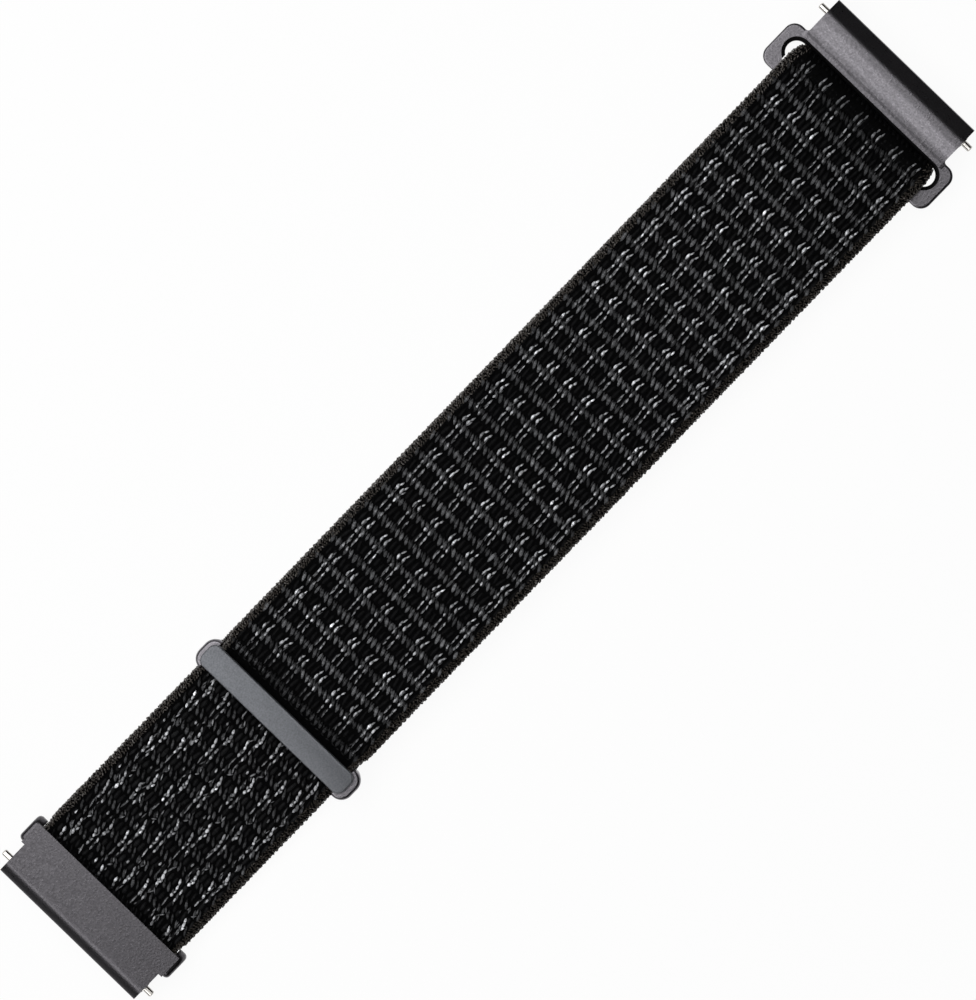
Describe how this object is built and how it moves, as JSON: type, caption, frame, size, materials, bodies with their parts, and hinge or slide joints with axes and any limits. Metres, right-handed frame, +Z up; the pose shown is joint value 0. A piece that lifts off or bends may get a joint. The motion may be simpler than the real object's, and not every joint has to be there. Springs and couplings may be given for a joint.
{
  "type": "watch strap",
  "caption": "Woven hook-and-loop watch strap with a fixed lug adapter, a slotted lug adapter, quick-release spring bars and a metal keeper at the free end.",
  "frame": {"origin": "centre of the underside of the strap's box, with the strap laid flat", "axes": "+X along the strap from the fixed end to the slotted end, +Y across it, +Z up out of the face that shows when it is worn"},
  "size_m": [0.141, 0.0264, 0.0052],
  "materials": {
    "webbing": "woven nylon, near black with rows of silver flecks",
    "thread": "black polyester thread",
    "hook_tape": "black nylon hooks",
    "gunmetal": "fine blasted dark grey",
    "face_metal": "satin blue-grey",
    "steel": "bright"
  },
  "bodies": {
    "band": {"webbing_fixed_end": "webbing", "webbing_lower_run": "webbing", "fixed_end_seam": "thread"},
    "left_adapter": {"left_adapter": "gunmetal", "left_loop_pin": "steel", "left_spring_bar_tube": "steel", "left_fixed_tip": "steel", "left_spring": "steel"},
    "left_release": {"left_release_pin": "steel", "left_release_knob": "steel"},
    "right_end": {"webbing_fold": "webbing", "webbing_upper_run": "webbing"},
    "keeper": {"keeper_frame": "gunmetal", "keeper_face_plate": "face_metal", "keeper_bar": "steel", "webbing_free_end": "webbing", "free_end_seam": "thread", "hook_patch": "hook_tape"},
    "right_adapter": {"right_adapter": "gunmetal", "right_spring_bar_tube": "steel", "right_fixed_tip": "steel", "right_spring": "steel"},
    "right_release": {"right_release_pin": "steel", "right_release_knob": "steel"}
  },
  "joints": [
    {"name": "left_adapter_swing", "type": "hinge", "parent": "band", "child": "left_adapter", "pos_m": [-0.0644, 0, 0.00155], "axis": [0, 1, 0], "range_deg": [-65, 4]},
    {"name": "left_release", "type": "slide", "parent": "left_adapter", "child": "left_release", "axis": [0, 1, 0], "range_m": [0, 0.0012], "stiffness_N_per_m": 300, "springref_m": -0.004, "deforming": ["left_spring"]},
    {"name": "band_length", "type": "slide", "parent": "band", "child": "right_end", "axis": [1, 0, 0], "range_m": [-0.008, 0.024], "deforming": ["webbing_lower_run"]},
    {"name": "keeper_slide", "type": "slide", "parent": "right_end", "child": "keeper", "axis": [1, 0, 0], "range_m": [-0.008, 0.024], "deforming": ["webbing_upper_run"]},
    {"name": "right_adapter_swing", "type": "hinge", "parent": "right_end", "child": "right_adapter", "pos_m": [0.06012, 0, 0.0022], "axis": [0, 1, 0], "range_deg": [-80, 80]},
    {"name": "right_release", "type": "slide", "parent": "right_adapter", "child": "right_release", "axis": [0, 1, 0], "range_m": [0, 0.0012], "stiffness_N_per_m": 300, "springref_m": -0.004, "deforming": ["right_spring"]}
  ],
  "couplings": [
    {"joint": "keeper_slide", "follows": "band_length", "ratio": 1}
  ]
}
